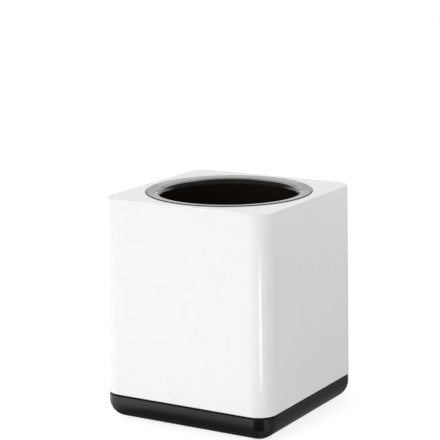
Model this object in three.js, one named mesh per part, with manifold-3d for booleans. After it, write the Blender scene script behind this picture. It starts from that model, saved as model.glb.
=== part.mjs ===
import * as THREE from 'three';
import { mergeVertices } from 'three/addons/utils/BufferGeometryUtils.js';
import Module from 'manifold-3d';

// Square pen cup, in millimetres, +Z up, standing on z = 0 with its axis on the Z axis.
// A white shell carries a round black cup in its top face. A black base with a rolled
// lower edge closes the shell from below, held by four screws under rubber feet.

// Play
const fitGap = 0.3; // between pieces that touch
const slipGap = 0.4; // round the cup, where it passes through or drops into something
const seamGap = 0.6; // shadow gap that shows between the shell and the base

// Shell
const width = 80; // across the flats, at the lower edge
const shellHeight = 83.85;
const draftAngle = 0.42; // degrees, lean of each side
const cornerRadius = 8.2; // upright corners
const wall = 2.4;
const topPlate = 3.2;
const topEdge = 0.5; // rounding round the top face
const lowerEdge = 0.3; // rounding of the lower edge
const ceilingFillet = 1.5; // inside, between the walls and the top plate
const skirt = 1.2; // outer part of the wall, which laps over the base's tongue
const rebateDepth = 1.6; // seat of the cup's lip in the top face
const rimMargin = 4.4; // from the lip to the flats, in the top face
const ringHeight = 3; // stiffening ring under the hole
const ringThickness = 1.6;
const bossRadius = 3.4;
const ribThickness = 1.4;

// Cup
const lipWidth = 6; // from the lip's edge to the bore
const lipProud = 0.35; // above the top face
const lipEdge = 0.2; // rounding of the lip's outer edge, which is its crest
const lipFallAngle = 5.4; // degrees, fall of the lip from its crest towards the bore
const mouthRadius = 3; // roll from the lip down into the bore
const cupWall = 2;
const cupFloor = 2.2;
const cupDraftAngle = 0.5; // degrees
const floorFillet = 3; // inside, round the floor
const heelRadius = 2; // outside, round the floor
const lugCount = 4; // snap lugs, one to each side of the shell
const lugReach = 0.7; // how far a lug catches under the shell's ledge
const lugEdge = 0.8;
const lugHeight = 4.6;
const lugWidth = 8;
const lugRoom = 0.9; // free space between the lugs and the stiffening ring

// Base
const baseHeight = 10.35; // to its upper edge, without the tongue
const baseInset = 0.1; // its flats stand in from the shell's lower edge
const rollRadius = 7.7; // rolled lower edge
const baseWall = 2.6;
const baseFloor = 2.6;
const tongueHeight = 3.2; // above the shell's lower edge
const tongueEdge = 0.3;
const towerHeight = 13.4; // screw towers, from the underside
const towerWall = 1.4; // round the counterbore
const seatThickness = 3; // under a screw's head
const headPlay = 0.4; // round a screw's head
const passage = 0.35; // round a screw's shank, in the seat
const gussetHeight = 9.5; // ribs from the towers to the walls, from the underside
const collarThickness = 1.6; // ring that locates the cup's foot
const collarGrip = 3; // how far the cup's foot goes down into the ring
const cupStand = 16.4; // height of the cup's underside above the base's floor
const crossThickness = 1.6; // crossed ribs that carry the cup

// Screws
const shankRadius = 1.25;
const screwLength = 12; // under the head
const tipLength = 1.6;
const headRadius = 2.8;
const headHeight = 2;
const headDome = 0.5;
const recessWidth = 0.8; // cross recess
const recessSpan = 3;
const recessDepth = 1.2;
const pilotRoom = 1.2; // beyond the tip, in the boss

// Feet
const footRadius = 5;
const footSunk = 1.4; // depth of a foot's recess in the base
const footProud = 0.6;
const footEdge = 0.3;
const footMargin = 0.5; // from a recess to the start of the rolled edge

// Roundness
const roundSteps = 72;
const smallSteps = 20;
const cornerDivisions = 5; // gives twice as many facets to a corner
const profileDivisions = 3; // gives twice as many facets to an arc of a profile
const smallDivisions = 1; // the same, on screws and feet

// Worked out from the sizes above
const slope = Math.tan(THREE.MathUtils.degToRad(draftAngle));
const cupSlope = Math.tan(THREE.MathUtils.degToRad(cupDraftAngle));
const lipFall = THREE.MathUtils.degToRad(lipFallAngle);
const lipRadius = width / 2 - shellHeight * slope - rimMargin;
const boreRadius = lipRadius - lipWidth;
const tubeRadius = boreRadius + cupWall;
const holeRadius = tubeRadius + slipGap;
const lugRadius = holeRadius + lugReach;
const lipThickness = rebateDepth - fitGap + lipProud;
const ledge = topPlate - rebateDepth;
const baseHalf = width / 2 - baseInset;
const roll = Math.min(rollRadius, cornerRadius - lowerEdge, baseHeight - tongueEdge);
const recessRadius = footRadius + fitGap;
const screwPlace = baseHalf - roll - footMargin - recessRadius;
const counterbore = headRadius + headPlay;
const seam = baseHeight + seamGap; // the shell's lower edge, above the base's underside
const lipSeat = shellHeight - rebateDepth + fitGap; // above the shell's lower edge
const cupUnderside = baseFloor + cupStand; // above the base's underside
const cupLength = seam + lipSeat - cupUnderside; // below the lip
const cupFootRadius = tubeRadius - (cupLength - collarGrip) * cupSlope;
const corners = [[1, 1], [-1, 1], [-1, -1], [1, -1]];

const wasm = await Module();
wasm.setup();

// A closed geometry as a solid that can be joined and cut.
function solid(geometry) {
  const bare = new THREE.BufferGeometry();
  bare.setAttribute('position', geometry.getAttribute('position'));
  bare.setIndex(geometry.index);
  const merged = mergeVertices(bare, 1e-4);
  const index = merged.index.array;
  const triVerts = [];
  for (let i = 0; i < index.length; i += 3) {
    const [a, b, c] = index.subarray(i, i + 3);
    if (a !== b && b !== c && c !== a) {
      triVerts.push(a, b, c);
    }
  }
  return new wasm.Manifold(new wasm.Mesh({
    numProp: 3,
    vertProperties: merged.getAttribute('position').array,
    triVerts: new Uint32Array(triVerts),
  }));
}

// A solid as a named mesh.
function meshOf(name, body, material) {
  const { vertProperties, triVerts } = body.getMesh();
  const geometry = new THREE.BufferGeometry();
  geometry.setAttribute('position', new THREE.BufferAttribute(vertProperties, 3));
  geometry.setIndex(new THREE.BufferAttribute(triVerts, 1));
  const flat = geometry.toNonIndexed();
  flat.computeVertexNormals();
  const mesh = new THREE.Mesh(flat, material);
  mesh.name = name;
  return mesh;
}

function cylinder(radius, from, to, steps = smallSteps) {
  const geometry = new THREE.CylinderGeometry(radius, radius, to - from, steps);
  geometry.rotateX(Math.PI / 2);
  geometry.translate(0, 0, (from + to) / 2);
  return solid(geometry);
}

// A box given by its two corners.
function block(low, high) {
  const size = high.map((value, axis) => value - low[axis]);
  const geometry = new THREE.BoxGeometry(...size);
  geometry.translate(...high.map((value, axis) => (value + low[axis]) / 2));
  return solid(geometry);
}

// A profile of radius and height, turned about the Z axis. It runs up the outside.
function turned(path, steps, divisions) {
  const geometry = new THREE.LatheGeometry(path.getPoints(divisions), steps);
  geometry.rotateX(Math.PI / 2);
  return solid(geometry);
}

// The screw place of a corner is where its boss, tower, screw and foot stand.
function atCorner(body, [x, y]) {
  return body.translate(x * screwPlace, y * screwPlace, 0);
}

// Two ribs that run from a corner's screw place to the walls beside it.
function wallRibs([x, y], wallPlace, from, to) {
  const half = ribThickness / 2;
  const place = [x * screwPlace, y * screwPlace];
  const far = [x * wallPlace, y * wallPlace];
  const low = [Math.min(place[0], far[0]), Math.min(place[1], far[1])];
  const high = [Math.max(place[0], far[0]), Math.max(place[1], far[1])];
  const sideRib = block([low[0], place[1] - half, from], [high[0], place[1] + half, to]);
  const frontRib = block([place[0] - half, low[1], from], [place[0] + half, high[1], to]);
  return sideRib.add(frontRib);
}

// A square with round corners, counter-clockwise from above.
function roundedSquare(half, radius) {
  const bend = Math.max(radius, lowerEdge);
  const centre = half - bend;
  const shape = new THREE.Shape();
  const quarter = Math.PI / 2;
  corners.forEach(([x, y], turn) => {
    shape.absarc(x * centre, y * centre, bend, turn * quarter, (turn + 1) * quarter, false);
  });
  return shape.getPoints(cornerDivisions);
}

// A skin through rounded squares that lie above each other, closed at both ends.
function loft(sections) {
  const rings = sections.map(({ half, radius }) => roundedSquare(half, radius));
  const count = rings[0].length;
  const positions = sections.flatMap(({ z }, level) => rings[level].flatMap((p) => [p.x, p.y, z]));
  const index = [];
  for (let level = 0; level < rings.length - 1; level++) {
    for (let i = 0; i < count; i++) {
      const a = level * count + i;
      const b = level * count + (i + 1) % count;
      index.push(a, b, b + count);
      index.push(a, b + count, a + count);
    }
  }
  const last = (rings.length - 1) * count;
  for (const [a, b, c] of THREE.ShapeUtils.triangulateShape(rings[0], [])) {
    index.push(c, b, a);
    index.push(last + a, last + b, last + c);
  }
  const geometry = new THREE.BufferGeometry();
  geometry.setAttribute('position', new THREE.Float32BufferAttribute(positions, 3));
  geometry.setIndex(index);
  return solid(geometry);
}

// Sections over a quarter ellipse, from a wall at z towards an end that lies "along" away.
function rolledEdge({ z, half, radius }, inward, along, steps) {
  const sections = [];
  for (let i = 0; i <= steps; i++) {
    const angle = (i / steps) * Math.PI / 2;
    const inset = inward * (1 - Math.cos(angle));
    sections.push({ z: z + along * Math.sin(angle), half: half - inset, radius: radius - inset });
  }
  return sections;
}

// The shell's outline at a height above its lower edge, moved inwards by an inset.
function shellSection(z, inset) {
  const lean = z * slope + inset;
  return { z, half: width / 2 - lean, radius: cornerRadius - inset };
}

const shellWhite = new THREE.MeshStandardMaterial({ color: 0xf1f2f3, roughness: 0.18, metalness: 0 });
const cupBlack = new THREE.MeshStandardMaterial({ color: 0x0c0b0b, roughness: 0.12, metalness: 0 });
const baseBlack = new THREE.MeshStandardMaterial({ color: 0x1b1a1b, roughness: 0.38, metalness: 0 });
const screwSteel = new THREE.MeshStandardMaterial({ color: 0xb9bcc0, roughness: 0.32, metalness: 1 });
const footRubber = new THREE.MeshStandardMaterial({ color: 0x232323, roughness: 0.85, metalness: 0 });

// Outer shell. Its origin is at its lower edge.
function outerShell() {
  const lower = rolledEdge(shellSection(lowerEdge, 0), lowerEdge, -lowerEdge, 2).reverse();
  const upper = rolledEdge(shellSection(shellHeight - topEdge, 0), topEdge, topEdge, 4);
  const outside = loft([...lower, ...upper]);

  const ceiling = shellHeight - topPlate;
  const hollow = loft([
    shellSection(-seamGap, wall),
    ...rolledEdge(shellSection(ceiling - ceilingFillet, wall), ceilingFillet, ceilingFillet, 3),
  ]);
  const rebateTop = tongueHeight + fitGap;
  const rebate = loft([shellSection(-seamGap, skirt), shellSection(rebateTop, skirt)]);

  const bossEnd = towerHeight + fitGap - seam;
  const plateMiddle = ceiling + ledge / 2;
  const ring = cylinder(lugRadius + lugRoom + ringThickness, ceiling - ringHeight, plateMiddle, roundSteps)
    .subtract(cylinder(lugRadius + lugRoom, 0, shellHeight, roundSteps));
  const boss = cylinder(bossRadius, bossEnd, plateMiddle);
  const bosses = corners.map((corner) => {
    return atCorner(boss, corner).add(wallRibs(corner, width / 2, rebateTop, plateMiddle));
  });
  const cupRoom = cylinder(lugRadius + fitGap, 0, ceiling, roundSteps);
  const reach = loft([shellSection(0, wall / 2), shellSection(plateMiddle, wall / 2)]);
  const inside = bosses.reduce((sum, piece) => sum.add(piece), ring).intersect(reach).subtract(cupRoom);

  const pilotDepth = screwLength - fitGap - seatThickness + pilotRoom;
  const pilot = cylinder(shankRadius + fitGap, bossEnd - fitGap, bossEnd + pilotDepth);
  let shell = outside.subtract(hollow).subtract(rebate).add(inside);
  for (const corner of corners) {
    shell = shell.subtract(atCorner(pilot, corner));
  }
  const hole = cylinder(holeRadius, ceiling - fitGap, shellHeight, roundSteps);
  const rebateFloor = shellHeight - rebateDepth;
  const lipRebate = cylinder(lipRadius + slipGap, rebateFloor, shellHeight + topEdge, roundSteps);
  return meshOf('outer_shell', shell.subtract(hole).subtract(lipRebate), shellWhite);
}

// Cup insert. Its origin is at the underside of the lip.
function cupInsert() {
  const under = -cupLength;
  const floor = under + cupFloor;
  const heelPlace = tubeRadius - cupLength * cupSlope - heelRadius;
  const crestPlace = lipRadius - lipEdge;
  const crestHeight = lipThickness - lipEdge;
  const mouthPlace = boreRadius + mouthRadius;
  const mouthDrop = (mouthRadius - lipEdge) / Math.cos(lipFall)
    + (crestPlace - mouthPlace) * Math.tan(lipFall);
  const mouthEnd = crestHeight - mouthDrop;
  const filletTop = floor + floorFillet;
  const filletPlace = boreRadius - (mouthEnd - filletTop) * cupSlope - floorFillet;
  const quarter = Math.PI / 2;
  const profile = new THREE.Path();
  profile.moveTo(0, under);
  profile.lineTo(heelPlace, under);
  profile.absarc(heelPlace, under + heelRadius, heelRadius, -quarter, 0, false);
  profile.lineTo(tubeRadius, 0);
  profile.lineTo(lipRadius, 0);
  profile.lineTo(lipRadius, crestHeight);
  profile.absarc(crestPlace, crestHeight, lipEdge, 0, quarter + lipFall, false);
  profile.absarc(mouthPlace, mouthEnd, mouthRadius, quarter + lipFall, 2 * quarter, false);
  profile.lineTo(filletPlace + floorFillet, filletTop);
  profile.absarc(filletPlace, filletTop, floorFillet, 0, -quarter, true);
  profile.lineTo(0, floor);
  let cup = turned(profile, roundSteps, profileDivisions);

  const lugTop = -(ledge + 2 * fitGap);
  const wedge = new THREE.Shape();
  wedge.moveTo(boreRadius + cupWall / 2, lugTop);
  wedge.lineTo(boreRadius + cupWall / 2, lugTop - lugHeight);
  wedge.lineTo(tubeRadius, lugTop - lugHeight);
  wedge.lineTo(lugRadius, lugTop - lugEdge);
  wedge.lineTo(lugRadius, lugTop);
  const bar = new THREE.ExtrudeGeometry(wedge, { depth: lugWidth, bevelEnabled: false });
  bar.translate(0, 0, -lugWidth / 2);
  bar.rotateX(quarter);
  const lug = solid(bar);
  for (let turn = 0; turn < lugCount; turn++) {
    cup = cup.add(lug.rotate(0, 0, turn * 360 / lugCount));
  }
  return meshOf('cup_insert', cup, cupBlack);
}

// Base. Its origin is at its underside.
function base() {
  const wallStart = { z: roll, half: baseHalf, radius: cornerRadius - baseInset };
  const upperEdge = { ...wallStart, z: baseHeight - tongueEdge };
  const outside = loft([
    ...rolledEdge(wallStart, roll, -roll, 8).reverse(),
    ...rolledEdge(upperEdge, tongueEdge, tongueEdge, 2),
  ]);
  const tongueSection = (z) => ({ ...shellSection(z - seam, skirt + fitGap), z });
  const tongueTop = tongueSection(seam + tongueHeight - tongueEdge);
  const tongue = loft([
    tongueSection(roll),
    ...rolledEdge(tongueTop, tongueEdge, tongueEdge, 2),
  ]);
  const innerWall = {
    z: roll,
    half: baseHalf - baseWall,
    radius: cornerRadius - baseInset - baseWall,
  };
  const hollow = loft([
    ...rolledEdge(innerWall, Math.max(roll - baseWall, fitGap), baseFloor - roll, 5).reverse(),
    { ...innerWall, z: seam + tongueHeight + fitGap },
  ]);

  const footing = baseFloor / 2;
  const collarRadius = cupFootRadius + slipGap;
  const collarTop = cupUnderside + collarGrip;
  const collar = cylinder(collarRadius + collarThickness, footing, collarTop, roundSteps)
    .subtract(cylinder(collarRadius, 0, collarTop + fitGap, roundSteps));
  const carrier = [[collarRadius, crossThickness / 2], [crossThickness / 2, collarRadius]]
    .map(([x, y]) => block([-x, -y, footing], [x, y, cupUnderside - fitGap]));
  const tower = cylinder(counterbore + towerWall, footing, towerHeight);
  const towers = corners.map((corner) => {
    const ribs = wallRibs(corner, baseHalf - baseWall / 2, footing, gussetHeight);
    return atCorner(tower, corner).add(ribs.intersect(outside));
  });

  let body = outside.add(tongue).subtract(hollow).add(collar);
  for (const piece of [...carrier, ...towers]) {
    body = body.add(piece);
  }
  const seat = towerHeight - seatThickness;
  const drill = cylinder(counterbore, -fitGap, seat)
    .add(cylinder(shankRadius + passage, seat - fitGap, towerHeight + fitGap))
    .add(cylinder(recessRadius, -fitGap, footSunk));
  for (const corner of corners) {
    body = body.subtract(atCorner(drill, corner));
  }
  return meshOf('base', body, baseBlack);
}

// Self-tapping screw. Its origin is at the bearing face of the head, which hangs below.
function screw(name) {
  const dome = headHeight - headDome;
  const profile = new THREE.Path();
  profile.moveTo(0, -headHeight);
  profile.lineTo(headRadius - headDome, -headHeight);
  profile.absarc(headRadius - headDome, -dome, headDome, -Math.PI / 2, 0, false);
  profile.lineTo(headRadius, 0);
  profile.lineTo(shankRadius, 0);
  profile.lineTo(shankRadius, screwLength - tipLength);
  profile.lineTo(0, screwLength);
  const arm = recessWidth / 2;
  const span = recessSpan / 2;
  const bottom = -headHeight - fitGap;
  const top = recessDepth - headHeight;
  const recess = block([-span, -arm, bottom], [span, arm, top])
    .add(block([-arm, -span, bottom], [arm, span, top]));
  return meshOf(name, turned(profile, smallSteps, smallDivisions).subtract(recess), screwSteel);
}

// Rubber foot. Its origin is at the face that stands on the table.
function foot(name) {
  const thickness = footProud + footSunk - fitGap;
  const profile = new THREE.Path();
  profile.moveTo(0, 0);
  profile.lineTo(footRadius - footEdge, 0);
  profile.absarc(footRadius - footEdge, footEdge, footEdge, -Math.PI / 2, 0, false);
  profile.lineTo(footRadius, thickness);
  profile.lineTo(0, thickness);
  return meshOf(name, turned(profile, smallSteps, smallDivisions), footRubber);
}

const penCup = new THREE.Group();

const underpart = new THREE.Group();
underpart.position.z = footProud;
underpart.add(base());
corners.forEach(([x, y], i) => {
  const fastener = screw(`base_screw_${i + 1}`);
  fastener.position.set(x * screwPlace, y * screwPlace, towerHeight - seatThickness - fitGap);
  const pad = foot(`foot_${i + 1}`);
  pad.position.set(x * screwPlace, y * screwPlace, -footProud);
  underpart.add(fastener, pad);
});

const casing = new THREE.Group();
casing.position.z = footProud + seam;
const insert = cupInsert();
insert.position.z = lipSeat;
casing.add(outerShell(), insert);

penCup.add(underpart, casing);

export default penCup;
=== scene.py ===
import math

import bmesh
import bpy
from mathutils import Matrix, Vector


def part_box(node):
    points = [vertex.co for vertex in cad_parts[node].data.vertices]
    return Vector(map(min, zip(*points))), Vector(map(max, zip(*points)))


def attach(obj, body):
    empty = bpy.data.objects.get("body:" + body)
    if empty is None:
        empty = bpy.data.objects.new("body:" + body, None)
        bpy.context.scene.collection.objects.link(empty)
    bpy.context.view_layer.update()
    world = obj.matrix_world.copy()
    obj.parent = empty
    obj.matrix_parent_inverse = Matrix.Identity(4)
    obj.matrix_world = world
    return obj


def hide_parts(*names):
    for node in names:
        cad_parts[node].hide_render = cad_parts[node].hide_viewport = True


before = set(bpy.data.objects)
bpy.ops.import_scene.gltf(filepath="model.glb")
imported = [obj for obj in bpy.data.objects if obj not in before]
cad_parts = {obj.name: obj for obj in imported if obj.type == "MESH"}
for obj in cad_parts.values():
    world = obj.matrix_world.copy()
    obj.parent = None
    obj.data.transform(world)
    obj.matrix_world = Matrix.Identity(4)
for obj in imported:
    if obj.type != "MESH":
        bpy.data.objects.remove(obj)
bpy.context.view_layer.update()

# Camera. A long lens that looks down a little on the cup, from where the front and the right
# side both show. It leans over by half a degree, as the real camera did.
IMAGE_PIXELS = 440
FOCAL_PIXELS = 1725.0
SENSOR_WIDTH = 36.0
AZIMUTH = math.radians(30.60)
ELEVATION = math.radians(11.74)
ROLL = math.radians(-0.605)
CAMERA_DISTANCE = 0.7318
AIM_HEIGHT = 0.08267
AIM_ASIDE = -0.00393
CLIP_START = 0.05
CLIP_END = 20.0


def direction_to(azimuth, elevation=0.0):
    """The way out from the cup at an azimuth, counted from the front, and an elevation."""
    level = math.cos(elevation)
    return Vector((math.sin(azimuth) * level, -math.cos(azimuth) * level, math.sin(elevation)))


camera_back = direction_to(AZIMUTH, ELEVATION)
level_right = Vector((math.cos(AZIMUTH), math.sin(AZIMUTH), 0.0))
level_up = camera_back.cross(level_right)
camera_right = level_right * math.cos(ROLL) + level_up * math.sin(ROLL)
camera_up = level_up * math.cos(ROLL) - level_right * math.sin(ROLL)
camera_place = Vector((0, 0, AIM_HEIGHT)) + level_right * AIM_ASIDE + camera_back * CAMERA_DISTANCE

camera_data = bpy.data.cameras.new("camera")
camera_data.sensor_width = SENSOR_WIDTH
camera_data.lens = SENSOR_WIDTH * FOCAL_PIXELS / IMAGE_PIXELS
camera_data.clip_start = CLIP_START
camera_data.clip_end = CLIP_END
camera = bpy.data.objects.new("camera", camera_data)
bpy.context.scene.collection.objects.link(camera)
camera.matrix_world = Matrix((
    (camera_right.x, camera_up.x, camera_back.x, camera_place.x),
    (camera_right.y, camera_up.y, camera_back.y, camera_place.y),
    (camera_right.z, camera_up.z, camera_back.z, camera_place.z),
    (0, 0, 0, 1),
))
bpy.context.scene.camera = camera

# Outer shell. One moulding in polished white plastic: four sides that lean in a little so that
# it leaves the mould, round upright corners and a closed top with a round seat for the cup's
# lip. Its lower edge laps over the base, and ribbed bosses inside it take the screws.
SHELL_DRAFT = math.radians(0.42)
SHELL_WALL = 0.0024
SHELL_SKIRT = 0.0012
SHELL_LAP = 0.0035
TOP_PLATE = 0.0032
REBATE_DEPTH = 0.0016
UPRIGHT_RADIUS = 0.0082
TOP_EDGE = 0.0005
LOWER_EDGE = 0.0003
CEILING_FILLET = 0.0015
CORNER_SEGMENTS = 24
LOOP_COUNT = 4 * (CORNER_SEGMENTS + 1)
FIT_GAP = 0.0003
SLIP_GAP = 0.0004
LIP_WIDTH = 0.006
CUP_WALL = 0.002
LUG_REACH = 0.0007
LUG_ROOM = 0.0009
RING_HEIGHT = 0.003
RING_WALL = 0.0016
BOSS_RADIUS = 0.0034
BOSS_LIFT = 0.00275
PILOT_RADIUS = 0.00155
PILOT_DEPTH = 0.0099
RIB_LIFT = 0.004
RIB_WIDTH = 0.0014
ROUND_SEGMENTS = 48
EDGE_SEGMENTS = 3
TOP_EDGE_SEGMENTS = 5
CEILING_SEGMENTS = 6
UP = 1
DOWN = -1
NEARLY_LEVEL = 0.999
ON_AXIS = 1e-9
MERGE_DISTANCE = 1e-7
SMOOTH_ANGLE = math.radians(32)
CORNERS = [Vector((1, 1)), Vector((-1, 1)), Vector((-1, -1)), Vector((1, -1))]

shell_low, shell_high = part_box("outer_shell")
insert_low, insert_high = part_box("cup_insert")
screw_low, screw_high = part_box("base_screw_1")
shell_top = shell_high.z
shell_bottom = shell_low.z
shell_half = shell_high.x
shell_top_half = shell_half - (shell_top - shell_bottom) * math.tan(SHELL_DRAFT)
ceiling_height = shell_top - TOP_PLATE
ledge_middle = ceiling_height + (TOP_PLATE - REBATE_DEPTH) / 2
lip_radius = insert_high.y
bore_radius = lip_radius - LIP_WIDTH
tube_radius = bore_radius + CUP_WALL
hole_radius = tube_radius + SLIP_GAP
rebate_radius = lip_radius + SLIP_GAP
lug_radius = hole_radius + LUG_REACH
ring_radius = lug_radius + LUG_ROOM
screw_place = (screw_low.x + screw_high.x) / 2


def level_face(bm, looks, lies):
    """Of the level faces that look UP or DOWN, the one that lies furthest UP or DOWN."""
    level = [f for f in bm.faces if f.normal.z * looks > NEARLY_LEVEL]
    return max(level, key=lambda f: f.calc_center_median().z * lies)


def tapered_block(bm, half_low, half_high, low, high, corner):
    """A square block with leaning sides and round upright edges."""
    bmesh.ops.create_cube(bm, size=2.0)
    for v in bm.verts:
        half = half_high if v.co.z > 0 else half_low
        v.co = Vector((v.co.x * half, v.co.y * half, high if v.co.z > 0 else low))
    upright = [e for e in bm.edges if abs(e.verts[0].co.z - e.verts[1].co.z) > (high - low) / 2]
    bmesh.ops.bevel(
        bm, geom=upright, offset=corner, offset_type="OFFSET", segments=CORNER_SEGMENTS,
        profile=0.5, affect="EDGES", material=-1,
    )
    bm.normal_update()


def round_face(bm, face, radius, segments):
    """Rounds the edges round a face."""
    bmesh.ops.bevel(
        bm, geom=list(face.edges), offset=radius, offset_type="OFFSET", segments=segments,
        profile=0.5, affect="EDGES", material=-1,
    )
    bm.normal_update()


def step_in(bm, face, inward, along, lean=0.0):
    """Insets an end face, pushes it along Z and leans the new walls inwards."""
    if inward > 0:
        bmesh.ops.inset_region(bm, faces=[face], thickness=inward, use_even_offset=True)
    pushed = bmesh.ops.extrude_discrete_faces(bm, faces=[face])["faces"][0]
    half = max(v.co.x for v in pushed.verts)
    narrow = 1.0 - abs(along) * math.tan(lean) / half
    for v in pushed.verts:
        v.co = Vector((v.co.x * narrow, v.co.y * narrow, v.co.z + along))
    bm.normal_update()
    return pushed


def hole_loops(bm, levels):
    """Rings of edges that step down through a hole: pairs of radius and height."""
    turn = Matrix.Rotation(math.pi / LOOP_COUNT, 4, "Z")
    first_radius, first_height = levels[0]
    made = bmesh.ops.create_circle(
        bm, cap_ends=False, segments=LOOP_COUNT, radius=first_radius,
        matrix=Matrix.Translation((0, 0, first_height)) @ turn,
    )
    ring = list(dict.fromkeys(e for v in made["verts"] for e in v.link_edges))
    first = ring
    for radius, height in levels[1:]:
        grown = bmesh.ops.extrude_edge_only(bm, edges=ring)["geom"]
        ring = [g for g in grown if isinstance(g, bmesh.types.BMEdge) and len(g.link_faces) == 1]
        ring = [e for e in ring if e not in first]
        for v in dict.fromkeys(v for e in ring for v in e.verts):
            v.co = Vector((*(v.co.xy.normalized() * radius), height))
    return first, ring


def cylinder(bm, radius, low, high, place):
    """An upright round bar, added to a bmesh."""
    bmesh.ops.create_cone(
        bm, cap_ends=True, segments=ROUND_SEGMENTS, radius1=radius, radius2=radius,
        depth=high - low, matrix=Matrix.Translation((*place, (low + high) / 2)),
    )


def bar(bm, first, last, width, low, high):
    """A bar between two places, along X or along Y, added to a bmesh."""
    middle = (first + last) / 2
    along = last - first
    size = (max(abs(along.x), width), max(abs(along.y), width), high - low, 1.0)
    place = Matrix.Translation((*middle, (low + high) / 2))
    bmesh.ops.create_cube(bm, size=1.0, matrix=place @ Matrix.Diagonal(size))


def turned(outline, steps):
    """Spins an outline of radius and height about the Z axis.

    A corner that also gives an offset and a count of segments is rounded first.
    """
    bm = bmesh.new()
    corners = [bm.verts.new((corner[0], 0, corner[1])) for corner in outline]
    bm.faces.new(corners)
    for vert, (_, _, *rounding) in zip(corners, outline):
        if rounding:
            bmesh.ops.bevel(
                bm, geom=[vert], offset=rounding[0], offset_type="OFFSET",
                segments=rounding[1], profile=0.5, affect="VERTICES", material=-1,
            )
    bmesh.ops.delete(bm, geom=list(bm.faces), context="FACES_ONLY")
    axis = [e for e in bm.edges if all(abs(v.co.x) < ON_AXIS for v in e.verts)]
    bmesh.ops.delete(bm, geom=axis, context="EDGES")
    bmesh.ops.spin(
        bm, geom=list(bm.edges) + list(bm.verts), cent=(0, 0, 0), axis=(0, 0, 1),
        angle=math.tau, steps=steps, use_merge=True, use_normal_flip=False, use_duplicate=False,
    )
    return bm


def body_of(bm, name):
    """A loose body from a bmesh, with its doubles merged and its faces turned outwards."""
    bmesh.ops.remove_doubles(bm, verts=list(bm.verts), dist=MERGE_DISTANCE)
    bmesh.ops.recalc_face_normals(bm, faces=list(bm.faces))
    mesh = bpy.data.meshes.new(name)
    bm.to_mesh(mesh)
    bm.free()
    body = bpy.data.objects.new(name, mesh)
    bpy.context.scene.collection.objects.link(body)
    return body


def work(body, form, operation):
    """Joins a form to a body, or cuts the body with it, and uses the form up."""
    tool = body_of(form, "tool")
    change = body.modifiers.new(operation, "BOOLEAN")
    change.operation = operation
    change.solver = "EXACT"
    change.object = tool
    evaluated = body.evaluated_get(bpy.context.evaluated_depsgraph_get())
    worked = bpy.data.meshes.new_from_object(evaluated)
    body.modifiers.clear()
    body.data = worked
    bpy.data.objects.remove(tool)


def finish_faces(body):
    """Soft shading between the sharp edges, with the flat faces kept flat."""
    bm = bmesh.new()
    bm.from_mesh(body.data)
    bmesh.ops.remove_doubles(bm, verts=list(bm.verts), dist=MERGE_DISTANCE)
    for f in bm.faces:
        f.smooth = True
    for e in bm.edges:
        e.smooth = len(e.link_faces) == 2 and e.calc_face_angle(0) < SMOOTH_ANGLE
    bm.to_mesh(body.data)
    bm.free()
    weighted = body.modifiers.new("flat faces stay flat", "WEIGHTED_NORMAL")
    weighted.mode = "FACE_AREA"
    weighted.keep_sharp = True


bm = bmesh.new()
tapered_block(bm, shell_half, shell_top_half, shell_bottom, shell_top, UPRIGHT_RADIUS)
round_face(bm, level_face(bm, DOWN, DOWN), LOWER_EDGE, EDGE_SEGMENTS)
round_face(bm, level_face(bm, UP, UP), TOP_EDGE, TOP_EDGE_SEGMENTS)
lap = step_in(bm, level_face(bm, DOWN, DOWN), SHELL_SKIRT - LOWER_EDGE, SHELL_LAP)
hollow_height = ceiling_height - shell_bottom - SHELL_LAP
ceiling = step_in(bm, lap, SHELL_WALL - SHELL_SKIRT, hollow_height, SHELL_DRAFT)
round_face(bm, ceiling, CEILING_FILLET, CEILING_SEGMENTS)
ceiling = level_face(bm, DOWN, UP)
top_face = level_face(bm, UP, UP)
top_edges = list(top_face.edges)
ceiling_edges = list(ceiling.edges)
bmesh.ops.delete(bm, geom=[top_face, ceiling], context="FACES_ONLY")
upper_ring, lower_ring = hole_loops(bm, [
    (rebate_radius, shell_top),
    (rebate_radius, shell_top - REBATE_DEPTH),
    (hole_radius, shell_top - REBATE_DEPTH),
    (hole_radius, ceiling_height),
])
bmesh.ops.bridge_loops(bm, edges=top_edges + upper_ring)
bmesh.ops.bridge_loops(bm, edges=ceiling_edges + lower_ring)
shell = body_of(bm, "shell")

boss_bottom = shell_bottom + BOSS_LIFT
rib_end = shell_top_half - SHELL_WALL / 2
bosses, ribs_along_x, ribs_along_y, pilots = (bmesh.new() for _ in range(4))
for corner in CORNERS:
    place = corner * screw_place
    cylinder(bosses, BOSS_RADIUS, boss_bottom, ledge_middle, place)
    cylinder(pilots, PILOT_RADIUS, boss_bottom - FIT_GAP, boss_bottom + PILOT_DEPTH, place)
    wall_x = Vector((corner.x * rib_end, place.y))
    wall_y = Vector((place.x, corner.y * rib_end))
    bar(ribs_along_x, place, wall_x, RIB_WIDTH, shell_bottom + RIB_LIFT, ledge_middle)
    bar(ribs_along_y, place, wall_y, RIB_WIDTH, shell_bottom + RIB_LIFT, ledge_middle)
work(shell, bosses, "UNION")
work(shell, ribs_along_x, "UNION")
work(shell, ribs_along_y, "UNION")
work(shell, pilots, "DIFFERENCE")
ring = [
    (ring_radius, ceiling_height - RING_HEIGHT),
    (ring_radius + RING_WALL, ceiling_height - RING_HEIGHT),
    (ring_radius + RING_WALL, ledge_middle),
    (ring_radius, ledge_middle),
]
work(shell, turned(ring, LOOP_COUNT), "UNION")
finish_faces(shell)

SHELL_COLOUR = (0.865, 0.870, 0.875)
SHELL_MOTTLE = (0.855, 0.861, 0.867)
SHELL_POLISH = (0.205, 0.235)
SHELL_WAVES = 2.5e-6


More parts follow.
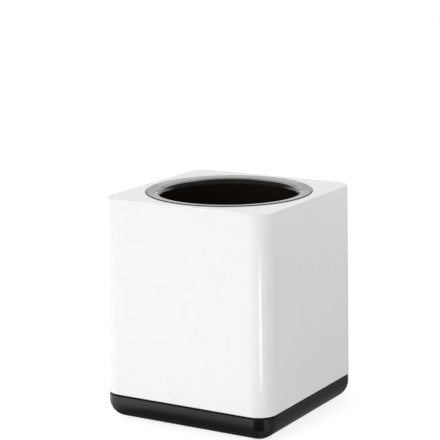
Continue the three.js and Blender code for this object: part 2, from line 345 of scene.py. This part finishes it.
def add_node(tree, kind, inputs=None, **settings):
    """A node with its own settings. An input is a steady value, or the socket that feeds it."""
    node = tree.nodes.new(kind)
    for name, value in settings.items():
        setattr(node, name, value)
    for socket, value in (inputs or {}).items():
        if isinstance(value, bpy.types.NodeSocket):
            tree.links.new(value, node.inputs[socket])
        else:
            node.inputs[socket].default_value = value
    return node


def node_group(name, numbers, outputs):
    """A group of nodes that reads a place, and gives values that change over the surface."""
    group = bpy.data.node_groups.new(name, "ShaderNodeTree")
    group.interface.new_socket(name="Place", in_out="INPUT", socket_type="NodeSocketVector")
    for socket, value in numbers.items():
        made = group.interface.new_socket(name=socket, in_out="INPUT", socket_type="NodeSocketFloat")
        made.default_value = value
    for socket in outputs:
        group.interface.new_socket(name=socket, in_out="OUTPUT", socket_type="NodeSocketFloat")
    given = add_node(group, "NodeGroupInput").outputs
    result = add_node(group, "NodeGroupOutput").inputs
    return group, given, result


# What the mould leaves on plastic and rubber: a fine spark-cut grain over long, shallow waves.
mould_skin, given, result = node_group(
    "mould_skin", {"Grain Scale": 4000.0, "Wave Scale": 250.0, "Grain Share": 0.5},
    ("Height", "Mottle"),
)
grain = add_node(mould_skin, "ShaderNodeTexNoise", {
    "Vector": given["Place"], "Scale": given["Grain Scale"], "Detail": 2.0, "Roughness": 0.5,
})
waves = add_node(mould_skin, "ShaderNodeTexNoise", {
    "Vector": given["Place"], "Scale": given["Wave Scale"], "Detail": 1.0, "Roughness": 0.4,
})
relief = add_node(mould_skin, "ShaderNodeMix", {
    "Factor": given["Grain Share"], "A": waves.outputs["Fac"], "B": grain.outputs["Fac"],
})
mottle = add_node(mould_skin, "ShaderNodeMapRange", {
    "Value": waves.outputs["Fac"], "From Min": 0.3, "From Max": 0.7,
})
mould_skin.links.new(relief.outputs["Result"], result["Height"])
mould_skin.links.new(mottle.outputs["Result"], result["Mottle"])

# What use leaves on a polished face: dull finger marks, and upright hairlines.
use_marks, given, result = node_group(
    "use_marks", {"Smudge Scale": 60.0, "Hair Scale": 1200.0}, ("Smudge", "Hairline"),
)
smudge_noise = add_node(use_marks, "ShaderNodeTexNoise", {
    "Vector": given["Place"], "Scale": given["Smudge Scale"], "Detail": 4.0, "Roughness": 0.6,
})
smudge = add_node(use_marks, "ShaderNodeMapRange", {
    "Value": smudge_noise.outputs["Fac"], "From Min": 0.45, "From Max": 0.72,
}, interpolation_type="SMOOTHSTEP")
stretch = add_node(use_marks, "ShaderNodeMapping", {
    "Vector": given["Place"], "Scale": (1.0, 1.0, 0.04),
})
hair_noise = add_node(use_marks, "ShaderNodeTexNoise", {
    "Vector": stretch.outputs["Vector"], "Scale": given["Hair Scale"], "Detail": 1.0,
})
hairline = add_node(use_marks, "ShaderNodeMapRange", {
    "Value": hair_noise.outputs["Fac"], "From Min": 0.62, "From Max": 0.72,
}, interpolation_type="SMOOTHSTEP")
use_marks.links.new(smudge.outputs["Result"], result["Smudge"])
use_marks.links.new(hairline.outputs["Result"], result["Hairline"])


def node_material(name, colour, roughness, **inputs):
    """A material with its Principled BSDF, whose steady numbers are set on the shader itself."""
    material = bpy.data.materials.new(name)
    material.use_nodes = True
    shader = material.node_tree.nodes["Principled BSDF"]
    shader.inputs["Base Color"].default_value = (*colour, 1.0)
    shader.inputs["Roughness"].default_value = roughness
    for socket, value in inputs.items():
        shader.inputs[socket.replace("_", " ")].default_value = value
    return material, material.node_tree, shader


def place_group(tree, group, place, **numbers):
    """Places a node group in a material, with the material's own values."""
    node = tree.nodes.new("ShaderNodeGroup")
    node.node_tree = group
    tree.links.new(place, node.inputs["Place"])
    for socket, value in numbers.items():
        node.inputs[socket.replace("_", " ")].default_value = value
    return node.outputs


def dress(tree, shader, colours, mottle, roughness, dullness, height, depth):
    """Feeds a shader's colour and roughness between two values each, and its bump."""
    colour = add_node(tree, "ShaderNodeMixRGB", {
        "Fac": mottle, "Color1": (*colours[0], 1.0), "Color2": (*colours[1], 1.0),
    })
    tree.links.new(colour.outputs["Color"], shader.inputs["Base Color"])
    rough = add_node(tree, "ShaderNodeMapRange", {
        "Value": dullness, "To Min": roughness[0], "To Max": roughness[1],
    })
    tree.links.new(rough.outputs["Result"], shader.inputs["Roughness"])
    bump = add_node(tree, "ShaderNodeBump", {"Height": height, "Distance": depth})
    tree.links.new(bump.outputs["Normal"], shader.inputs["Normal"])


shell_white, tree, shader = node_material("shell_white", SHELL_COLOUR, SHELL_POLISH[0])
place = add_node(tree, "ShaderNodeTexCoord").outputs["Object"]
skin = place_group(tree, mould_skin, place, Grain_Scale=2500.0, Wave_Scale=210.0, Grain_Share=0.1)
marks = place_group(tree, use_marks, place, Smudge_Scale=42.0, Hair_Scale=1400.0)
dress(
    tree, shader, (SHELL_COLOUR, SHELL_MOTTLE), skin["Mottle"], SHELL_POLISH, marks["Smudge"],
    skin["Height"], SHELL_WAVES,
)
shell.data.materials.append(shell_white)
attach(shell, "root")
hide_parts("outer_shell")

# Cup insert. A separate moulding in polished black plastic, dropped into the shell from above.
# Its flared lip falls a little towards the bore and rolls softly down into it. Four lugs snap
# under the shell's ledge, and its foot stands in a ring of the base.
CUP_FLOOR = 0.0022
CUP_DRAFT = math.radians(0.5)
LIP_THICKNESS = 0.00165
LIP_EDGE = 0.0002
LIP_FALL = math.radians(5.4)
MOUTH_ROLL = 0.00275
FLOOR_FILLET = 0.003
HEEL_RADIUS = 0.002
LIP_EDGE_SEGMENTS = 5
MOUTH_SEGMENTS = 16
FLOOR_SEGMENTS = 10
HEEL_SEGMENTS = 6
SPIN_STEPS = 160
LUG_COUNT = 4
LUG_DROP = 0.0022
LUG_HEIGHT = 0.0046
LUG_EDGE = 0.0008
LUG_WIDTH = 0.008
CUP_COLOUR = (0.010, 0.0072, 0.0048)
CUP_MOTTLE = (0.0085, 0.0062, 0.0043)
CUP_POLISH = (0.09, 0.13)
CUP_WAVES = 1.5e-6

lip_under = insert_high.z - LIP_THICKNESS
cup_under = insert_low.z
heel_radius = tube_radius - (lip_under - cup_under) * math.tan(CUP_DRAFT)
floor_height = cup_under + CUP_FLOOR
lip_inner_height = insert_high.z - (LIP_WIDTH - LIP_EDGE) * math.tan(LIP_FALL)
floor_radius = bore_radius - (insert_high.z - floor_height) * math.tan(CUP_DRAFT)
outline = [
    (0.0, cup_under),
    (heel_radius, cup_under, HEEL_RADIUS, HEEL_SEGMENTS),
    (tube_radius, lip_under),
    (lip_radius, lip_under),
    (lip_radius, insert_high.z, LIP_EDGE, LIP_EDGE_SEGMENTS),
    (bore_radius, lip_inner_height, MOUTH_ROLL, MOUTH_SEGMENTS),
    (floor_radius, floor_height, FLOOR_FILLET, FLOOR_SEGMENTS),
    (0.0, floor_height),
]
cup = body_of(turned(outline, SPIN_STEPS), "cup")

lug_top = lip_under - LUG_DROP
wedge = [
    (tube_radius - CUP_WALL / 2, lug_top),
    (tube_radius - CUP_WALL / 2, lug_top - LUG_HEIGHT),
    (tube_radius, lug_top - LUG_HEIGHT),
    (lug_radius, lug_top - LUG_EDGE),
    (lug_radius, lug_top),
]
lugs = bmesh.new()
for number in range(LUG_COUNT):
    side = lugs.faces.new([lugs.verts.new((r, -LUG_WIDTH / 2, h)) for r, h in wedge])
    grown = bmesh.ops.extrude_face_region(lugs, geom=[side], use_keep_orig=True)["geom"]
    far = [g for g in grown if isinstance(g, bmesh.types.BMVert)]
    bmesh.ops.translate(lugs, vec=(0, LUG_WIDTH, 0), verts=far)
    turn = Matrix.Rotation(number * math.tau / LUG_COUNT, 3, "Z")
    bmesh.ops.rotate(lugs, cent=(0, 0, 0), matrix=turn, verts=list(side.verts) + far)
work(cup, lugs, "UNION")
finish_faces(cup)

cup_black, tree, shader = node_material("cup_black", CUP_COLOUR, CUP_POLISH[0])
place = add_node(tree, "ShaderNodeTexCoord").outputs["Object"]
skin = place_group(tree, mould_skin, place, Grain_Scale=2500.0, Wave_Scale=260.0, Grain_Share=0.08)
marks = place_group(tree, use_marks, place, Smudge_Scale=55.0, Hair_Scale=1500.0)
worn = add_node(tree, "ShaderNodeMath", {
    0: marks["Hairline"], 1: marks["Smudge"],
}, operation="MAXIMUM")
dress(
    tree, shader, (CUP_COLOUR, CUP_MOTTLE), skin["Mottle"], CUP_POLISH, worn.outputs["Value"],
    skin["Height"], CUP_WAVES,
)
cup.data.materials.append(cup_black)
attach(cup, "root")
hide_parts("cup_insert")

# Base. A tray moulded in satin black plastic, whose lower edge is rolled under so that it seems
# to hover. A tongue round its rim goes up inside the shell and leaves a fine shadow gap. Four
# towers take the screws from below. Crossed ribs carry the cup's foot, and a ring holds it.
BASE_HEIGHT = 0.01035
BASE_INSET = 0.0001
BASE_WALL = 0.0026
BASE_FLOOR = 0.0026
ROLL_RADIUS = 0.0077
ROLL_SEGMENTS = 16
TRAY_SEGMENTS = 8
RIM_EDGE = 0.0003
TONGUE_RISE = 0.0038
TOWER_HEIGHT = 0.0134
TOWER_RADIUS = 0.0046
COUNTERBORE_RADIUS = 0.0032
SEAT_THICKNESS = 0.003
PASSAGE_RADIUS = 0.0016
RECESS_RADIUS = 0.0053
RECESS_DEPTH = 0.0014
COLLAR_GRIP = 0.003
COLLAR_WALL = 0.0016
CROSS_WIDTH = 0.0016
BASE_COLOUR = (0.0068, 0.0064, 0.0066)
BASE_MOTTLE = (0.0058, 0.0055, 0.0057)
BASE_SATIN = (0.24, 0.26)
BASE_GRAIN = 3.0e-6
BOTH_WAYS = [Vector((1, 0)), Vector((0, 1))]

base_low, base_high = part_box("base")
base_half = base_high.x
base_bottom = base_low.z
base_rim = base_bottom + BASE_HEIGHT
tongue_half = shell_half - SHELL_SKIRT - FIT_GAP
tray_half = base_half - BASE_WALL

bm = bmesh.new()
tapered_block(bm, base_half, base_half, base_bottom, base_rim, UPRIGHT_RADIUS - BASE_INSET)
round_face(bm, level_face(bm, DOWN, DOWN), ROLL_RADIUS, ROLL_SEGMENTS)
round_face(bm, level_face(bm, UP, UP), RIM_EDGE, EDGE_SEGMENTS)
tongue = step_in(bm, level_face(bm, UP, UP), base_half - RIM_EDGE - tongue_half, TONGUE_RISE)
tray_depth = base_rim + TONGUE_RISE - base_bottom - BASE_FLOOR
tray_floor = step_in(bm, tongue, tongue_half - tray_half, -tray_depth)
round_face(bm, tray_floor, ROLL_RADIUS - BASE_WALL, TRAY_SEGMENTS)
tray_base = body_of(bm, "tray_base")

footing = base_bottom + BASE_FLOOR / 2
collar_radius = heel_radius + COLLAR_GRIP * math.tan(CUP_DRAFT) + SLIP_GAP
cross_reach = collar_radius + COLLAR_WALL / 2
cross_top = cup_under - FIT_GAP
tower_top = base_bottom + TOWER_HEIGHT
collar = [
    (collar_radius, footing),
    (collar_radius + COLLAR_WALL, footing),
    (collar_radius + COLLAR_WALL, cup_under + COLLAR_GRIP),
    (collar_radius, cup_under + COLLAR_GRIP),
]
work(tray_base, turned(collar, SPIN_STEPS), "UNION")
for direction in BOTH_WAYS:
    cross = bmesh.new()
    reach = direction * cross_reach
    bar(cross, -reach, reach, CROSS_WIDTH, footing, cross_top)
    work(tray_base, cross, "UNION")
towers = bmesh.new()
for corner in CORNERS:
    cylinder(towers, TOWER_RADIUS, footing, tower_top, corner * screw_place)
work(tray_base, towers, "UNION")

for radius, top in (
    (RECESS_RADIUS, base_bottom + RECESS_DEPTH),
    (COUNTERBORE_RADIUS, tower_top - SEAT_THICKNESS),
    (PASSAGE_RADIUS, tower_top + FIT_GAP),
):
    drills = bmesh.new()
    for corner in CORNERS:
        cylinder(drills, radius, base_bottom - FIT_GAP, top, corner * screw_place)
    work(tray_base, drills, "DIFFERENCE")
finish_faces(tray_base)

base_black, tree, shader = node_material("base_black", BASE_COLOUR, BASE_SATIN[0])
place = add_node(tree, "ShaderNodeTexCoord").outputs["Object"]
skin = place_group(tree, mould_skin, place, Grain_Scale=4200.0, Wave_Scale=240.0, Grain_Share=0.85)
marks = place_group(tree, use_marks, place, Smudge_Scale=70.0, Hair_Scale=1200.0)
dress(
    tree, shader, (BASE_COLOUR, BASE_MOTTLE), skin["Mottle"], BASE_SATIN, marks["Smudge"],
    skin["Height"], BASE_GRAIN,
)
tray_base.data.materials.append(base_black)
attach(tray_base, "root")
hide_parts("base")

# Screws. Four zinc-plated self-tapping screws with pan heads and cross recesses. They go up
# through the towers' seats and cut their thread in the shell's bosses.
SHANK_RADIUS = 0.00105
THREAD_RADIUS = 0.00145
THREAD_ROOT = 0.0009
THREAD_PITCH = 0.0011
THREAD_START = 0.0007
THREAD_STEPS = 24
CREST_SHARE = 0.35
RIDGE_SHARE = 0.7
HEAD_RADIUS = 0.0028
HEAD_HEIGHT = 0.002
HEAD_ROUND = 0.0008
HEAD_SEGMENTS = 6
TIP_LENGTH = 0.0016
CROSS_ARM = 0.0015
CROSS_SLOT = 0.0008
CROSS_DEPTH = 0.0012
CROSS_TAPER = 0.55
SCREW_COLOUR = (0.50, 0.52, 0.53)
SCREW_TARNISH = (0.46, 0.45, 0.41)
SCREW_POLISH = (0.26, 0.42)
SCREW_GRAIN = 2.0e-6

head_bottom = screw_low.z
bearing = head_bottom + HEAD_HEIGHT
tip = screw_high.z
outline = [
    (0.0, head_bottom),
    (HEAD_RADIUS, head_bottom, HEAD_ROUND, HEAD_SEGMENTS),
    (HEAD_RADIUS, bearing),
    (SHANK_RADIUS, bearing),
    (SHANK_RADIUS, tip - TIP_LENGTH),
    (0.0, tip),
]
first_screw = body_of(turned(outline, ROUND_SEGMENTS), "first_screw")

thread = bmesh.new()
start = bearing + THREAD_START
turns = int((tip - TIP_LENGTH - start - THREAD_PITCH) / THREAD_PITCH)
ridge = [thread.verts.new(p) for p in (
    (THREAD_ROOT, 0, start),
    (THREAD_RADIUS, 0, start + THREAD_PITCH * CREST_SHARE),
    (THREAD_ROOT, 0, start + THREAD_PITCH * RIDGE_SHARE),
)]
ridge_edges = [thread.edges.new((ridge[i - 1], ridge[i])) for i in range(3)]
bmesh.ops.spin(
    thread, geom=ridge + ridge_edges, cent=(0, 0, 0), axis=(0, 0, 1),
    dvec=(0, 0, THREAD_PITCH / THREAD_STEPS), angle=math.tau * turns, steps=THREAD_STEPS * turns,
    use_merge=False, use_normal_flip=False, use_duplicate=False,
)
bmesh.ops.holes_fill(thread, edges=list(thread.edges), sides=3)
work(first_screw, thread, "UNION")
for direction in BOTH_WAYS:
    cross = bmesh.new()
    arm = direction * CROSS_ARM
    bar(cross, -arm, arm, CROSS_SLOT, head_bottom - FIT_GAP, head_bottom + CROSS_DEPTH)
    deep = [v for v in cross.verts if v.co.z > head_bottom]
    bmesh.ops.scale(cross, vec=(CROSS_TAPER, CROSS_TAPER, 1.0), verts=deep)
    work(first_screw, cross, "DIFFERENCE")

screw_steel, tree, shader = node_material("screw_steel", SCREW_COLOUR, SCREW_POLISH[0], Metallic=1.0)
place = add_node(tree, "ShaderNodeTexCoord").outputs["Object"]
skin = place_group(tree, mould_skin, place, Grain_Scale=5200.0, Wave_Scale=900.0, Grain_Share=0.7)
marks = place_group(tree, use_marks, place, Smudge_Scale=700.0, Hair_Scale=6000.0)
dress(
    tree, shader, (SCREW_COLOUR, SCREW_TARNISH), skin["Mottle"], SCREW_POLISH, marks["Smudge"],
    skin["Height"], SCREW_GRAIN,
)


def at_screw_places(first, name, material):
    """A finished copy of a first piece at each screw place. The first one is used up."""
    copies = []
    for number, corner in enumerate(CORNERS, 1):
        piece = bpy.data.objects.new(f"{name}_{number}", first.data.copy())
        piece.data.transform(Matrix.Translation((*(corner * screw_place), 0)))
        bpy.context.scene.collection.objects.link(piece)
        finish_faces(piece)
        piece.data.materials.append(material)
        copies.append(piece)
    bpy.data.objects.remove(first)
    return copies


for number, screw in enumerate(at_screw_places(first_screw, "screw", screw_steel), 1):
    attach(screw, "root")
    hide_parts(f"base_screw_{number}")

# Feet. Four matt rubber discs, glued into round recesses under the base, where they cover the
# screws. A shallow groove in the face of each helps it to grip the table.
FOOT_EDGE = 0.0003
FOOT_EDGE_SEGMENTS = 4
SEAT_EDGE = 0.00015
SEAT_EDGE_SEGMENTS = 2
GROOVE_RADIUS = 0.0035
GROOVE_WIDTH = 0.0006
GROOVE_DEPTH = 0.0002
FOOT_COLOUR = (0.017, 0.017, 0.017)
FOOT_DUST = (0.026, 0.025, 0.024)
FOOT_MATT = (0.78, 0.92)
FOOT_GRAIN = 1.2e-5

foot_low, foot_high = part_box("foot_1")
foot_radius = (foot_high.x - foot_low.x) / 2
outline = [
    (0.0, foot_low.z),
    (GROOVE_RADIUS - GROOVE_WIDTH / 2, foot_low.z),
    (GROOVE_RADIUS, foot_low.z + GROOVE_DEPTH),
    (GROOVE_RADIUS + GROOVE_WIDTH / 2, foot_low.z),
    (foot_radius, foot_low.z, FOOT_EDGE, FOOT_EDGE_SEGMENTS),
    (foot_radius, foot_high.z, SEAT_EDGE, SEAT_EDGE_SEGMENTS),
    (0.0, foot_high.z),
]
first_foot = body_of(turned(outline, 2 * ROUND_SEGMENTS), "first_foot")

foot_rubber, tree, shader = node_material("foot_rubber", FOOT_COLOUR, FOOT_MATT[0])
place = add_node(tree, "ShaderNodeTexCoord").outputs["Object"]
skin = place_group(tree, mould_skin, place, Grain_Scale=3600.0, Wave_Scale=500.0, Grain_Share=0.8)
marks = place_group(tree, use_marks, place, Smudge_Scale=350.0, Hair_Scale=3000.0)
dress(
    tree, shader, (FOOT_COLOUR, FOOT_DUST), marks["Smudge"], FOOT_MATT, skin["Mottle"],
    skin["Height"], FOOT_GRAIN,
)
for number, foot in enumerate(at_screw_places(first_foot, "rubber_foot", foot_rubber), 1):
    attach(foot, "root")
    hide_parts(f"foot_{number}")

# Floor and backdrop. A matt white table that sweeps up into a white wall far away all round.
# The camera sees it as bright as paper, with the cup's shadow on it. Reflections see it bright
# only beyond the cup; on the other sides they see painted shade, and round the base a painted
# contact shadow.
TABLE_RADIUS = 2.6
SWEEP_RADIUS = 0.4
WALL_TOP = 1.3
SWEEP_SEGMENTS = 12
SWEEP_STEPS = 96
SWEEP_COLOUR = 0.9
SWEEP_MATT = 0.9
GLOW = 0.8
GLOW_ALBEDO = 0.42
NEAR_GLOW = 0.12
FAR_GLOW = 0.9
CONTACT_REACH = 0.05
CONTACT_DARK = 0.60
CONTACT_LEVEL = 0.10
OPEN_FLOOR = 1.3
SHADE_AZIMUTH = math.radians(125)
SHADE_FROM = 0.1
SHADE_TO = 0.6
SHADE_LEVEL = 0.24
DIM_FROM = -0.62
DIM_TO = -0.2
PAPER_IN_GLOSS = 1.12
DIM_IN_GLOSS = 0.12

bm = bmesh.new()
outline = [(0.0, 0.0), (TABLE_RADIUS + SWEEP_RADIUS, 0.0), (TABLE_RADIUS + SWEEP_RADIUS, WALL_TOP)]
corners = [bm.verts.new((radius, 0, height)) for radius, height in outline]
for lower, upper in zip(corners, corners[1:]):
    bm.edges.new((lower, upper))
bmesh.ops.bevel(
    bm, geom=[corners[1]], offset=SWEEP_RADIUS, offset_type="OFFSET", segments=SWEEP_SEGMENTS,
    profile=0.5, affect="VERTICES", material=-1,
)
bmesh.ops.spin(
    bm, geom=list(bm.edges) + list(bm.verts), cent=(0, 0, 0), axis=(0, 0, 1), angle=math.tau,
    steps=SWEEP_STEPS, use_merge=True, use_normal_flip=False, use_duplicate=False,
)
for f in bm.faces:
    f.smooth = True
sweep = body_of(bm, "sweep")
sweep.data.flip_normals()

sweep_white, tree, shader = node_material(
    "sweep_white", (SWEEP_COLOUR, SWEEP_COLOUR, SWEEP_COLOUR), SWEEP_MATT,
    Specular_IOR_Level=0.0,
)
place = add_node(tree, "ShaderNodeTexCoord").outputs["Object"]
path = add_node(tree, "ShaderNodeLightPath").outputs
# Painted contact shadow: the floor darkens close round the base, seen only in reflections.
contact = add_node(tree, "ShaderNodeAmbientOcclusion", {"Distance": CONTACT_REACH}, samples=8)
painted_contact_shade = add_node(tree, "ShaderNodeMapRange", {
    "Value": contact.outputs["AO"], "From Min": CONTACT_DARK,
    "To Min": CONTACT_LEVEL, "To Max": OPEN_FLOOR,
}, interpolation_type="SMOOTHSTEP")
# Painted shade: the floor dims towards SHADE_AZIMUTH, seen only in reflections.
heading = add_node(tree, "ShaderNodeVectorMath", {0: place}, operation="NORMALIZE")
aside = add_node(tree, "ShaderNodeVectorMath", {
    0: heading.outputs["Vector"], 1: direction_to(SHADE_AZIMUTH),
}, operation="DOT_PRODUCT")
shade = add_node(tree, "ShaderNodeMapRange", {
    "Value": aside.outputs["Value"], "From Min": SHADE_FROM, "From Max": SHADE_TO,
}, interpolation_type="SMOOTHSTEP")
shaded = add_node(tree, "ShaderNodeMix", {
    "Factor": shade.outputs["Result"], "A": painted_contact_shade.outputs["Result"], "B": SHADE_LEVEL,
})
near_light = add_node(tree, "ShaderNodeMix", {
    "Factor": path["Is Glossy Ray"], "A": 1.0, "B": shaded.outputs["Result"],
})
albedo = add_node(tree, "ShaderNodeMath", {
    0: near_light.outputs["Result"], 1: GLOW_ALBEDO,
}, operation="MULTIPLY")
lit = add_node(tree, "ShaderNodeBsdfDiffuse", {"Color": albedo.outputs["Value"]})
glow = add_node(tree, "ShaderNodeEmission", {
    "Color": near_light.outputs["Result"], "Strength": GLOW,
})
near = add_node(tree, "ShaderNodeAddShader", {0: lit.outputs["BSDF"], 1: glow.outputs["Emission"]})
# Painted shade: the floor dims on the camera's side, seen only in reflections.
towards = add_node(tree, "ShaderNodeVectorMath", {
    0: heading.outputs["Vector"], 1: direction_to(AZIMUTH),
}, operation="DOT_PRODUCT")
behind_camera = add_node(tree, "ShaderNodeMapRange", {
    "Value": towards.outputs["Value"], "From Min": DIM_FROM, "From Max": DIM_TO,
    "To Min": PAPER_IN_GLOSS, "To Max": DIM_IN_GLOSS,
}, interpolation_type="SMOOTHSTEP")
far_light = add_node(tree, "ShaderNodeMix", {
    "Factor": path["Is Glossy Ray"], "A": 1.0, "B": behind_camera.outputs["Result"],
})
far = add_node(tree, "ShaderNodeEmission", {"Color": far_light.outputs["Result"], "Strength": 1.0})
reach = add_node(tree, "ShaderNodeVectorMath", {0: place}, operation="LENGTH")
distance = add_node(tree, "ShaderNodeMapRange", {
    "Value": reach.outputs["Value"], "From Min": NEAR_GLOW, "From Max": FAR_GLOW,
}, interpolation_type="SMOOTHSTEP")
paper = add_node(tree, "ShaderNodeMixShader", {
    "Fac": distance.outputs["Result"], 1: near.outputs["Shader"], 2: far.outputs["Emission"],
})
looked_at = add_node(tree, "ShaderNodeMath", {
    0: path["Is Camera Ray"], 1: path["Is Glossy Ray"],
}, operation="MAXIMUM")
looked_through = add_node(tree, "ShaderNodeMath", {
    0: looked_at.outputs["Value"], 1: path["Is Transmission Ray"],
}, operation="MAXIMUM")
surface = add_node(tree, "ShaderNodeMixShader", {
    "Fac": looked_through.outputs["Value"], 1: shader.outputs["BSDF"], 2: paper.outputs["Shader"],
})
from_below = add_node(tree, "ShaderNodeMath", {
    0: add_node(tree, "ShaderNodeNewGeometry").outputs["Backfacing"], 1: path["Is Camera Ray"],
}, operation="MULTIPLY")
clear = add_node(tree, "ShaderNodeBsdfTransparent")
one_way = add_node(tree, "ShaderNodeMixShader", {
    "Fac": from_below.outputs["Value"], 1: surface.outputs["Shader"], 2: clear.outputs["BSDF"],
})
tree.links.new(one_way.outputs["Shader"], tree.nodes["Material Output"].inputs["Surface"])
sweep.data.materials.append(sweep_white)

# Light. A dim even room with a large soft box above and behind the cup, which the lip and the
# top pick up, and low soft boxes round it: the front one is the brightest, then the right one.
ROOM = 0.30
ROOM_IN_GLOSS = 0.24
CUP_MIDDLE = 0.05
TOP_AZIMUTH = 210
TOP_ELEVATION = 50
TOP_DISTANCE = 1.0
TOP_SIZE = 1.3
TOP_POWER = 19.7
TOP_FOOT = 0.15
FOOT_SHARE = 0.5
BOX_DISTANCE = 1.6
BOX_WIDTH = 1.4
BOX_HEIGHT = 0.7
# The low boxes, each with its azimuth, elevation and power.
FRONT_BOX = (-22, 22, 17.4)
SIDE_BOX = (102, 22, 8.5)
REAR_BOX = (-140, 16, 5.5)

world = bpy.data.worlds.new("room")
bpy.context.scene.world = world
world.use_nodes = True
tree = world.node_tree
room_path = add_node(tree, "ShaderNodeLightPath").outputs
room_light = add_node(tree, "ShaderNodeMapRange", {
    "Value": room_path["Is Glossy Ray"], "To Min": ROOM, "To Max": ROOM_IN_GLOSS,
})
seen_room = add_node(tree, "ShaderNodeMapRange", {
    "Value": room_path["Is Camera Ray"], "To Min": room_light.outputs["Result"], "To Max": 1.0,
})
background = tree.nodes["Background"]
background.inputs["Color"].default_value = (1, 1, 1, 1)
tree.links.new(seen_room.outputs["Result"], background.inputs["Strength"])


def area_lamp(name, width, height, power, place, away):
    """A rectangular lamp at a place, which looks back along a way. No camera sees it."""
    data = bpy.data.lights.new(name, "AREA")
    data.shape = "RECTANGLE"
    data.size = width
    data.size_y = height
    data.energy = power
    lamp = bpy.data.objects.new(name, data)
    bpy.context.scene.collection.objects.link(lamp)
    lamp.location = place
    lamp.rotation_euler = away.to_track_quat("Z", "Y").to_euler()
    lamp.visible_camera = False
    return lamp


def soft_box(name, azimuth, elevation, distance, width, height, power):
    """A large lamp that looks at the middle of the cup. Its angles are in degrees."""
    away = direction_to(math.radians(azimuth), math.radians(elevation))
    place = Vector((0, 0, CUP_MIDDLE)) + away * distance
    return area_lamp(name, width, height, power, place, away)


# Only reflections see the top box. Its light fades towards its foot.
top_box = soft_box(
    "top_lamp", TOP_AZIMUTH, TOP_ELEVATION, TOP_DISTANCE, TOP_SIZE, TOP_SIZE, TOP_POWER,
)
top_box.visible_diffuse = False
top_box.data.use_nodes = True
tree = top_box.data.node_tree
spot = add_node(tree, "ShaderNodeNewGeometry").outputs["Parametric"]
across = add_node(tree, "ShaderNodeSeparateXYZ", {"Vector": spot})
rising = add_node(tree, "ShaderNodeMapRange", {
    "Value": across.outputs["Y"], "From Max": FOOT_SHARE, "To Min": TOP_FOOT,
}, interpolation_type="SMOOTHSTEP")
tree.links.new(rising.outputs["Result"], tree.nodes["Emission"].inputs["Strength"])

# Only matt light comes from the low boxes, so that no box shows on the polished sides.
for name, (azimuth, elevation, power) in (
    ("front_lamp", FRONT_BOX), ("side_lamp", SIDE_BOX), ("rear_lamp", REAR_BOX),
):
    low_box = soft_box(name, azimuth, elevation, BOX_DISTANCE, BOX_WIDTH, BOX_HEIGHT, power)
    low_box.visible_glossy = False

# Corner light. A narrow strip close to the front corner puts the thin bright line on it, with
# a beam so narrow that no other side catches it. A black card on the table before that corner
# paints shade into the base's reflection there. Only reflections show the two.
STRIP_AZIMUTH = math.radians(40.5)
STRIP_OFF = 0.06
STRIP_WIDTH = 0.0062
STRIP_LOW = 0.009
STRIP_HIGH = 0.060
STRIP_POWER = 0.00030
STRIP_SPREAD = math.radians(26)
CARD_NEAR = 0.004
CARD_FAR = 0.09
CARD_AZIMUTHS = (0.0, math.radians(56))
CARD_LIFT = 0.0004
CARD_COLOUR = (0.02, 0.02, 0.02)
CARD_MATT = 1.0

corner_middle = Vector((shell_half - UPRIGHT_RADIUS, UPRIGHT_RADIUS - shell_half, 0))
strip_place = corner_middle + direction_to(STRIP_AZIMUTH) * (UPRIGHT_RADIUS + STRIP_OFF)
strip_place.z = (STRIP_LOW + STRIP_HIGH) / 2
strip = area_lamp(
    "strip_lamp", STRIP_WIDTH, STRIP_HIGH - STRIP_LOW, STRIP_POWER, strip_place,
    direction_to(STRIP_AZIMUTH, -ELEVATION),
)
strip.data.spread = STRIP_SPREAD
strip.visible_diffuse = False

# The black card is painted shade: a dark sheet before the corner that only reflections see.
bm = bmesh.new()
near_edge = bm.edges.new([
    bm.verts.new(corner_middle + direction_to(azimuth) * (UPRIGHT_RADIUS + CARD_NEAR))
    for azimuth in CARD_AZIMUTHS
])
grown = bmesh.ops.extrude_edge_only(bm, edges=[near_edge])["geom"]
widen = (UPRIGHT_RADIUS + CARD_FAR) / (UPRIGHT_RADIUS + CARD_NEAR)
for v in [g for g in grown if isinstance(g, bmesh.types.BMVert)]:
    v.co = corner_middle + (v.co - corner_middle) * widen
bmesh.ops.translate(bm, vec=(0, 0, CARD_LIFT), verts=list(bm.verts))
card = body_of(bm, "painted_shade_card")
painted_shade_black, tree, shader = node_material("painted_shade_black", CARD_COLOUR, CARD_MATT)
card.data.materials.append(painted_shade_black)
card.visible_camera = False
card.visible_diffuse = False
card.visible_shadow = False

bpy.context.scene.view_settings.view_transform = "Standard"
